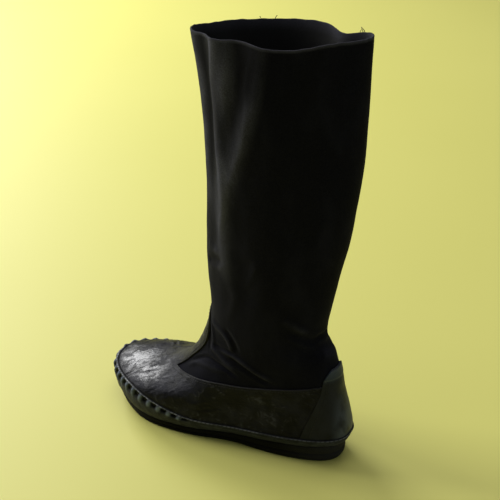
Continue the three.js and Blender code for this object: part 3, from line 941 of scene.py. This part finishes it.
def make_counter():
    levels, angles, away = cover_grid(counter_angle, inside_counter, COUNTER_COLUMNS, COUNTER_ROWS)
    points, normals, _ = skin(levels, angles)
    # Where the painted sheen lies: towards the rear edge.
    rear = 1 - smoothstep(points[..., 0], *REAR_SHEEN)
    pale = PALE_SHARE * (1 - smoothstep(away, *PALE_FADE))
    for line in PALE_LINES:
        pale = pale + LINE_SHARE * np.exp(-((away - line) / LINE_HALF) ** 2)
    step_start, step_end = BINDING_STEP
    binding = 1 - smoothstep(away, BINDING + step_start, BINDING + step_end)
    groove = np.exp(-((away - BINDING - GROOVE_PLACE) / GROOVE_HALF) ** 2)
    dimple = DIMPLE_DEPTH * soft_noise(points, DIMPLE_SIZE)
    relief = BINDING_RISE * binding - GROOVE_DEPTH * groove + dimple
    shell, faces, edge = cover_shell(points, normals, away, relief)
    return make_piece("counter_leather_cover", shell, faces, counter_finish(), "counter_leather", "counter",
                      edge=edge, binding=both_faces(np.clip(pale, 0, 1)), rear=both_faces(rear))


make_counter()

# %% [markdown]
# ## Wrap
# The wrap is the leather that rises from the sole. It is longer than the seam it is sewn to, so round the
# toe it is gathered: a row of deep pits close under the seam with rounded pleats between them. The pleats
# are worn grey and painted paler as lit, and the pits are painted dark as shade. From the ball back it is
# a narrow plain strip.

# %% Gathers, and the wrap's mesh
GATHERS = 25
GATHER_FROM, GATHER_TO, GATHER_FADE = -82, 82, 0.05
WRAP_COLUMNS = 1200
WRAP_TOP = 1.955
PIT_HALF, PIT_DEPTH, PLEAT_RISE = 2.9, 2.4, 1.0
PIT_LEVEL, PIT_SPREAD = 1.77, 0.2
PLEAT_FADE = (1.15, 1.65)
CRUMPLE_SIZES = [(6, 0.3), (2.7, 0.15)]  # size, depth
PIT_SHADE = 1.7

turns = np.radians(np.linspace(GATHER_FROM, GATHER_TO, 800))
seam_run = form_point(2, turns) + SOLE_MARGIN * form_normal(2, turns)
seam_length = np.concatenate([[0], np.cumsum(np.linalg.norm(np.diff(seam_run, axis=0), axis=1))])
GATHER_PITCH = seam_length[-1] / (GATHERS - 1)


def gather_place(angle):
    """Distance from the nearest gather along the seam in mm, and 1 where there are gathers at all."""
    folded = (angle + np.pi) % (2 * np.pi) - np.pi
    run = np.interp(folded, turns, seam_length)
    start, end = np.radians([GATHER_FROM, GATHER_TO])
    begun = smoothstep(folded, start - GATHER_FADE, start + GATHER_FADE / 5)
    ended = smoothstep(folded, end - GATHER_FADE / 5, end + GATHER_FADE)
    return np.abs(run / GATHER_PITCH - np.round(run / GATHER_PITCH)) * GATHER_PITCH, begun * (1 - ended)


def even_turns(level, columns):
    """Angles that space the points of one loop evenly."""
    fine = np.linspace(0, 2 * np.pi, 4001)
    step = np.linalg.norm(np.diff(form_point(level, fine), axis=0), axis=1)
    run = np.concatenate([[0], np.cumsum(step)])
    return np.interp(np.linspace(0, run[-1], columns, endpoint=False), run, fine)


def wrap_finish():
    leather = Finish("dull gathered leather", {"Specular IOR Level": 0.08})
    fine = leather.noise(0.0013, detail=5, roughness=0.65)
    blotch = leather.noise(0.007, detail=3)
    tone = leather.mix(blotch.between(0.3, 0.7), (0.014, 0.016, 0.02, 1), (0.036, 0.04, 0.048, 1))
    # Pleats painted pale and bluish: wear and painted highlight.
    worn_and_lit = leather.mix(leather.mark("pleat") * blotch.between(0.25, 0.55), tone, (0.13, 0.16, 0.215, 1))
    # Pits painted dark: painted shade in the recesses.
    shaded = leather.mix(leather.mark("pit"), worn_and_lit, (0.0006, 0.001, 0.0035, 1))
    return leather.paint(base_color=shaded, roughness=0.42 + blotch * 0.25, normal=leather.bump(fine, 0.0003))


def make_wrap():
    angle = even_turns(1, WRAP_COLUMNS)
    outer = np.concatenate([np.linspace(0, 1.2, 12), np.linspace(1.24, WRAP_TOP - 0.02, 22)])
    levels = np.concatenate([outer, [WRAP_TOP, WRAP_TOP], np.linspace(WRAP_TOP - 0.1, 0, 5)])
    leather = np.concatenate([np.ones(len(outer)), [0.95, 0.1], np.zeros(5)])
    away, present = gather_place(angle)
    pit = np.exp(-(away / PIT_HALF) ** 4) * present
    pleat = smoothstep(away, PIT_HALF * 0.7, GATHER_PITCH / 2) * present
    high = np.exp(-((levels - PIT_LEVEL) / PIT_SPREAD) ** 2)[:, None]
    rise = np.exp(-((levels - PIT_LEVEL + 0.08) / (1.5 * PIT_SPREAD)) ** 2)[:, None]
    points, normals, _ = skin(levels[:, None], angle[None, :])
    crumple = sum(depth * soft_noise(points, size) for size, depth in CRUMPLE_SIZES)
    relief = PLEAT_RISE * pleat * rise - PIT_DEPTH * pit * high + crumple
    points += normals * (GAP + leather[:, None] * (WRAP_LEATHER + relief))[..., None]
    faces = grid_faces(len(levels), WRAP_COLUMNS, closed_rows=True)
    return make_piece("wrap_leather_gathered", points, faces, wrap_finish(), "wrap_leather", "wrap",
                      # pleat carries the worn and painted-lit pleats; pit carries the painted shade of the
                      # pits.
                      pleat=pleat * smoothstep(levels, *PLEAT_FADE)[:, None],
                      pit=np.clip(PIT_SHADE * pit * high, 0, 1))


make_wrap()
print("gathers:", GATHERS, "pitch in mm:", round(GATHER_PITCH, 2))

# %% [markdown]
# ## Raised seam
# Wrap, vamp and counter are sewn edge to edge, and the two cut edges stand out as a thin ridge with a split
# along its top. Raw leather is paler than its finished face, so the ridge reads as a light line, broken
# where each stitch pulls it in and duller along the sides. Round the toe the pull of the gathers makes it
# waver.

# %% Seam bead
# Level and offset from the skin, from the wrap over the ridge to the vamp
SEAM_PROFILE = [(1.975, 0.4), (1.975, 1.8), (1.99, 2.0), (2.015, 2.75), (2.03, 3.0), (2.045, 2.8),
                (2.06, 3.0), (2.075, 2.75), (2.105, 2.0), (2.142, 1.65), (2.142, 0.4)]
SEAM_COLUMNS = 1400
SEAM_WAVER, INNER_WAVER = 0.3, 0.9
SEAM_SIDE_SHARE, SEAM_TOE = 0.4, (120, 200)
SEAM_STITCH, SEAM_BREAK = 4.2, 0.65
SEAM_CREST = 4
SEAM_PROUD, SEAM_PALE = (2.0, 2.8), (2.5, 2.8)
SEAM_ROUGH, SEAM_ROUGH_SIZE = 0.18, 3.1


def seam_finish():
    leather = Finish("raw seam edge", {"Specular IOR Level": 0.15})
    fibre = leather.noise(0.0011, detail=5, roughness=0.7)
    blotch = leather.noise(0.01, detail=3)
    pale = leather.mix(blotch.between(0.3, 0.7), (0.12, 0.13, 0.14, 1), (0.36, 0.375, 0.4, 1))
    tone = leather.mix(leather.mark("ridge"), (0.006, 0.0065, 0.007, 1), pale)
    return leather.paint(base_color=tone, roughness=0.5 + fibre * 0.3, normal=leather.bump(fibre, 0.0003))


def make_seam():
    angle = even_turns(2, SEAM_COLUMNS)
    levels, offset = (np.array(values) for values in zip(*SEAM_PROFILE))
    away, present = gather_place(angle)
    swing = np.where(np.sin(angle) < 0, INNER_WAVER, SEAM_WAVER)
    waver = swing * present * np.cos(2 * np.pi * away / GATHER_PITCH)
    points, normals, _ = skin(levels[:, None], angle[None, :])
    proud = smoothstep(offset, *SEAM_PROUD)[:, None]
    top = smoothstep(offset, *SEAM_PALE)[:, None]
    rough = SEAM_ROUGH * soft_noise(points, SEAM_ROUGH_SIZE)
    points += normals * (offset[:, None] + proud * (rough - waver))[..., None]
    # The raw ridge is paler round the toe and duller along the sides.
    toe = lerp(SEAM_SIDE_SHARE, 1, smoothstep(points[..., 0], *SEAM_TOE))
    crest = points[SEAM_CREST]
    run = np.cumsum(np.linalg.norm(np.diff(crest, axis=0, prepend=crest[-1:]), axis=1))
    thread = 1 - SEAM_BREAK * smoothstep(np.cos(2 * np.pi * run / SEAM_STITCH), 0.2, 0.9)
    faces = grid_faces(len(levels), SEAM_COLUMNS, closed_rows=True)
    return make_piece("seam_raised_edge", points, faces, seam_finish(), "seam_leather", "seam",
                      ridge=top * toe * thread)


make_seam()

# %% [markdown]
# ## Sole and insole
# The wedge is moulded rubber: a soft lower edge, a shallow groove along its side and a flat tread that lifts
# at the waist and the toe. It is a stack of loops that follow the wrap's lower edge, closed by strips across
# the boot. Its heel is painted paler as light, with a mottle. The insole is a plain felt-covered board.

# %% Outsole and insole
# How far out of the feather edge, and share of the thickness, from the tread up
SOLE_STEPS = [(-4, 0), (-1.6, 0.02), (-0.8, 0.1), (-0.25, 0.25), (0, 0.4), (-0.3, 0.43), (-0.8, 0.46),
              (-0.8, 0.54), (-0.3, 0.57), (0, 0.6), (0.1, 0.8), (-0.1, 0.95), (-0.6, 1.0)]
SOLE_COLUMNS = 480
HEEL_PAINTED_LIGHT = (10, 70)
INSOLE_THICK = 3


def stack_faces(rows, columns):
    """Faces of a stack of loops, closed below and above by strips that run across it."""
    faces = grid_faces(rows, columns)
    top = (rows - 1) * columns
    for step in range(columns // 2):
        left, right = (step, step + 1), ((columns - step) % columns, columns - step - 1)
        strip = [left[0], right[0], right[1], left[1]]
        if step == 0:
            strip = [left[0], right[1], left[1]]
        if step == columns // 2 - 1:
            strip = [left[0], right[0], left[1]]
        faces.append(strip)
        faces.append([top + index for index in reversed(strip)])
    return faces


def sole_loop(angle, grow, rise, extra=0.0):
    """The feather loop moved outwards, laid at a share of the sole's thickness."""
    points = form_point(0, angle) + grow * form_normal(0, angle)
    points[:, 2] = lerp(sole_bottom(points[:, 0]), sole_top(points[:, 0]), rise) + extra
    return points


def rubber_finish():
    rubber = Finish("matte black rubber", {"Specular IOR Level": 0.08})
    grain = rubber.noise(0.0012, detail=3)
    dust = rubber.noise(0.013, detail=4, roughness=0.6)
    tone = rubber.mix(dust.between(0.45, 0.8) * 0.6, grey(0.003), grey(0.008))
    # The heel painted paler, standing for light on it, mottled by the noise.
    heel_lit = rubber.mix(rubber.mark("heel"), tone, rubber.mix(dust, grey(0.012), grey(0.03)))
    return rubber.paint(base_color=heel_lit, roughness=0.55 + dust * 0.3, normal=rubber.bump(grain, 0.00025))


def felt_finish():
    felt = Finish("dark felt", {"Specular IOR Level": 0.1, "Sheen Weight": 0.1})
    fibre = felt.noise(0.0008, detail=4, roughness=0.7)
    tone = felt.mix(fibre, grey(0.02, 0.05), grey(0.05, 0.08))
    return felt.paint(base_color=tone, roughness=0.9 + fibre * 0.1, normal=felt.bump(fibre, 0.0004))


def make_sole():
    angle = around(SOLE_COLUMNS)
    loops = np.stack([sole_loop(angle, SOLE_MARGIN + grow, rise) for grow, rise in SOLE_STEPS])
    # heel marks where light is painted on the heel.
    return make_piece("outsole_rubber", loops, stack_faces(len(loops), SOLE_COLUMNS), rubber_finish(),
                      "sole_rubber", "outsole", heel=1 - smoothstep(loops[..., 0], *HEEL_PAINTED_LIGHT))


def make_insole():
    angle = around(SOLE_COLUMNS // 2)
    inset, top = -UPPER_WALL - GAP, GAP + INSOLE_THICK
    steps = [(inset - 0.3, GAP), (inset, GAP + 0.3), (inset, top - 0.5), (inset - 0.5, top)]
    loops = np.stack([sole_loop(angle, grow, 1, lift) for grow, lift in steps])
    faces = stack_faces(len(loops), SOLE_COLUMNS // 2)
    return make_piece("insole_board", loops, faces, felt_finish(), "insole_felt", "insole")


make_sole()
make_insole()

# %% [markdown]
# ## Stitches and thread ends
# A row of stitches holds the vamp's lap edge and the counter's front edge. Each stitch is a short bent tube
# that dives into the leather at both ends, and all of them are one joined mesh worked out with arrays. Loose
# ends of thread stand up from the rim: two single ones and a tuft of three.

# %% Threads as tubes
STITCH_LENGTH, STITCH_PITCH = 2.3, 3.0
STITCH_INSET = 2.4
THREAD_RADIUS = 0.27
THREAD_SIDES = 6
STITCH_RISE = np.array([-0.35, 0.08, 0.2, 0.08, -0.35])
COUNTER_ROW, COUNTER_ROW_TURN = (2.3, 6.3), math.radians(5.5)
LOOSE_ENDS = [  # angle, length, lean
    (295, 2.4, 0.5), (286, 3, -0.6),
    (213, 3, 0.6), (211, 3.6, 1.1), (216, 2.5, -0.4),
]


def thread_finish():
    thread = Finish("waxed thread", {"Specular IOR Level": 0.3})
    twist = thread.noise(0.0004, detail=2)
    return thread.paint(base_color=thread.mix(twist, grey(0.005), grey(0.015)), roughness=0.6 + 0.2 * twist)


def tubes(paths, normals, radius):
    """Points and faces of many short tubes; paths and normals have a row of points for each tube."""
    count, length = paths.shape[:2]
    forward = unit(np.gradient(paths, axis=1))
    side = unit(np.cross(forward, normals))
    lift = np.cross(side, forward)
    turn = around(THREAD_SIDES)
    ring = side[:, :, None] * np.cos(turn)[:, None] + lift[:, :, None] * np.sin(turn)[:, None]
    points = paths[:, :, None] + radius * ring
    one = np.array(grid_faces(length, THREAD_SIDES))
    size = length * THREAD_SIDES
    faces = (one[None] + size * np.arange(count)[:, None, None]).reshape(-1, 4).tolist()
    for tube in range(count):
        start = tube * size
        faces.append([start + step for step in reversed(range(THREAD_SIDES))])
        faces.append([start + size - THREAD_SIDES + step for step in range(THREAD_SIDES)])
    return points, faces


print("threads are", 2 * THREAD_RADIUS, "mm thick")

# %% [markdown]
# The rows of stitches are laid by length along the cut edges, a little inside them, so their pitch stays
# even.

# %% Stitches and loose ends
def stitch_row(line, normals):
    """Paths of stitches laid end to end along a line on the leather."""
    run = np.concatenate([[0], np.cumsum(np.linalg.norm(np.diff(line, axis=0), axis=1))])
    starts = np.arange(1, run[-1] - STITCH_PITCH, STITCH_PITCH)
    places = starts[:, None] + np.linspace(0, STITCH_LENGTH, len(STITCH_RISE))

    def at(values):
        return np.stack([np.interp(places, run, values[:, axis]) for axis in range(3)], -1)

    out = unit(at(normals))
    return at(line) + out * STITCH_RISE[:, None], out


def loose_ends():
    """Paths of the thread ends that stand up from the rim and bend over to one side."""
    angle, length, lean = np.array(LOOSE_ENDS, float).T
    start, out, _ = skin(np.full(len(angle), COLLAR), np.radians(angle))
    along = unit(np.cross([0, 0, 1], out))
    climb = np.linspace(-0.4, 1, len(STITCH_RISE))[None, :, None]
    reach = length[:, None, None]
    middle = start - out * UPPER_WALL / 2
    bend = lean[:, None, None] * along[:, None] * np.maximum(climb, 0) ** 2
    paths = middle[:, None] + reach * (np.array([0, 0, 1]) * climb + bend)
    return paths, np.repeat(out[:, None], len(STITCH_RISE), axis=1)


def make_stitches():
    share = even_columns(vamp_angle, inside_vamp, 900)
    levels = cut_level(share, vamp_angle, inside_vamp, STITCH_INSET)
    lap = skin(levels, vamp_angle(share, levels))
    rows = [stitch_row(lap[0] + lap[1] * (COVER_GAP + LEATHER), lap[1])]
    climb = np.linspace(*COUNTER_ROW, 200)
    for side in (1, -1):
        angle = side * (np.interp(climb, REAR_LEVELS, REAR[side, "counter"]) + COUNTER_ROW_TURN)
        edge = skin(climb, angle)
        rows.append(stitch_row(edge[0] + edge[1] * (COVER_GAP + LEATHER), edge[1]))
    rows.append(loose_ends())
    paths, normals = (np.concatenate(parts) for parts in zip(*rows))
    points, faces = tubes(paths, normals, THREAD_RADIUS)
    print("stitches:", len(paths))
    return make_piece("stitches", points, faces, thread_finish(), "vamp_leather")


make_stitches()

# %% [markdown]
# ## Floor, light and camera
# The boot stands on a plain pale floor, a little mottled, that runs past the edges of the picture.

# %% Floor
def floor_finish():
    paper = Finish("pale floor", {"Specular IOR Level": 0.4})
    mottle = paper.noise(0.6, detail=2)
    tone = paper.mix(mottle, (0.8, 0.775, 0.21, 1), (0.84, 0.81, 0.235, 1))
    return paper.paint(base_color=tone, roughness=0.5 + mottle * 0.1)


FLOOR_HALF = 4.0
floor_mesh = bpy.data.meshes.new("floor")
corners = [(x * FLOOR_HALF, y * FLOOR_HALF, 0) for x, y in ((-1, -1), (1, -1), (1, 1), (-1, 1))]
floor_mesh.from_pydata(corners, [], [(0, 1, 2, 3)])
floor_mesh.materials.append(floor_finish())
floor = bpy.data.objects.new("floor", floor_mesh)
bpy.context.scene.collection.objects.link(floor)
print("floor half width in metres:", FLOOR_HALF)

# %% [markdown]
# Soft light comes from large panels. Two stand beyond the toe, so they graze the folds, leave the near face
# dark and show as the bright streaks on the toe. A wide one overhead lights the floor, and a weak cool one
# behind the heel adds a little to the counter's sheen, most of which is painted into the counter's colour.

# %% Lights
BOOT_MIDDLE = Vector((0, 0, 0.15))
PANELS = [  # name, turn from the toe's direction, height angle, distance, width and height, power, colour
    ("window", -28, 24, 3.0, (1.3, 1.1), 50, (1.0, 1.0, 1.0)),
    ("side_panel", 6, 24, 3.0, (1.1, 1.4), 50, (1.0, 1.0, 0.98)),
    ("ceiling", -60, 80, 2.6, (3.0, 3.0), 28, (1.0, 0.99, 0.96)),
    ("cool_fill", 162, 12, 2.0, (0.9, 1.2), 4, (0.75, 0.87, 1.0)),
]


def make_panel(name, turn, height, distance, size, power, colour):
    turn, height = math.radians(turn), math.radians(height)
    towards = Vector((math.cos(turn) * math.cos(height), math.sin(turn) * math.cos(height), math.sin(height)))
    light = bpy.data.lights.new(name, "AREA")
    light.shape = "RECTANGLE"
    light.size, light.size_y = size
    light.energy = power
    light.color = colour
    panel = bpy.data.objects.new(name, light)
    panel.location = BOOT_MIDDLE + distance * towards
    panel.rotation_mode = "QUATERNION"
    panel.rotation_quaternion = (-towards).to_track_quat("-Z", "Y")
    bpy.context.scene.collection.objects.link(panel)


for panel in PANELS:
    make_panel(*panel)
world = bpy.data.worlds.new("studio")
bpy.context.scene.world = world
world.use_nodes = True
world.node_tree.nodes["Background"].inputs["Color"].default_value = (1.0, 0.98, 0.9, 1)
world.node_tree.nodes["Background"].inputs["Strength"].default_value = 0.05
print("panels:", len(PANELS))

# %% [markdown]
# The camera looks down on the outer side from behind the heel, through a fairly long lens and with a slight
# roll, as in the photograph.

# %% Camera
CAMERA_PLACE = Vector((-0.4396, 0.6542, 0.6072))
CAMERA_TARGET = Vector((-0.0265, -0.0021, 0.1927))
CAMERA_ROLL = math.radians(-2.7)
CAMERA_LENS, CAMERA_SENSOR = 72, 36

forward = (CAMERA_TARGET - CAMERA_PLACE).normalized()
level_right = forward.cross(Vector((0, 0, 1))).normalized()
level_up = level_right.cross(forward)
right = level_right * math.cos(CAMERA_ROLL) + level_up * math.sin(CAMERA_ROLL)
up = right.cross(forward)
lens = bpy.data.cameras.new("camera")
lens.lens, lens.sensor_width = CAMERA_LENS, CAMERA_SENSOR
camera = bpy.data.objects.new("camera", lens)
camera.matrix_world = Matrix((right, up, -forward)).transposed().to_4x4()
camera.location = CAMERA_PLACE
bpy.context.scene.collection.objects.link(camera)
bpy.context.scene.camera = camera
bpy.context.scene.view_settings.view_transform = "Standard"
print("camera looks along", [round(value, 3) for value in forward])

# %% [markdown]
# The dressed boot has to stay in the solids' box, apart from a little standing proud.
